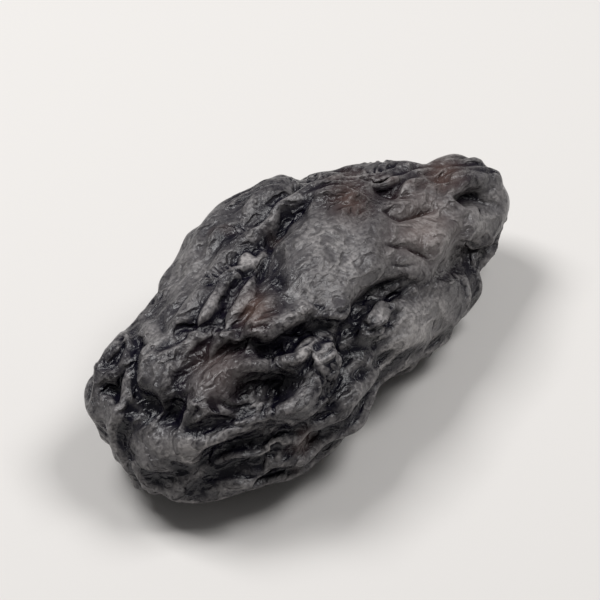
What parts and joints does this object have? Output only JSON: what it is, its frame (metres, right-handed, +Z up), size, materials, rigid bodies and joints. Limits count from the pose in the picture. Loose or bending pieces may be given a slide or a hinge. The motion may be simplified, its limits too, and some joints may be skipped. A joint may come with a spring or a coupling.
{
  "type": "prune",
  "caption": "Whole dried plum, long and wrinkled with deep creases and a stem pit, lying on its broad side on a small flat spot.",
  "frame": {"origin": "centre of the bounding box in plan, at the height of the flat spot that it lies on", "axes": "+X along the fruit towards its stem end, +Z up through its thickness, -Y towards the side whose broad face shows"},
  "size_m": [0.052, 0.027, 0.0195],
  "materials": {
    "prune_skin": "dull waxy dried fruit skin, nearly black with a grey bloom"
  },
  "bodies": {
    "root": {"prune": "prune_skin"}
  },
  "joints": []
}
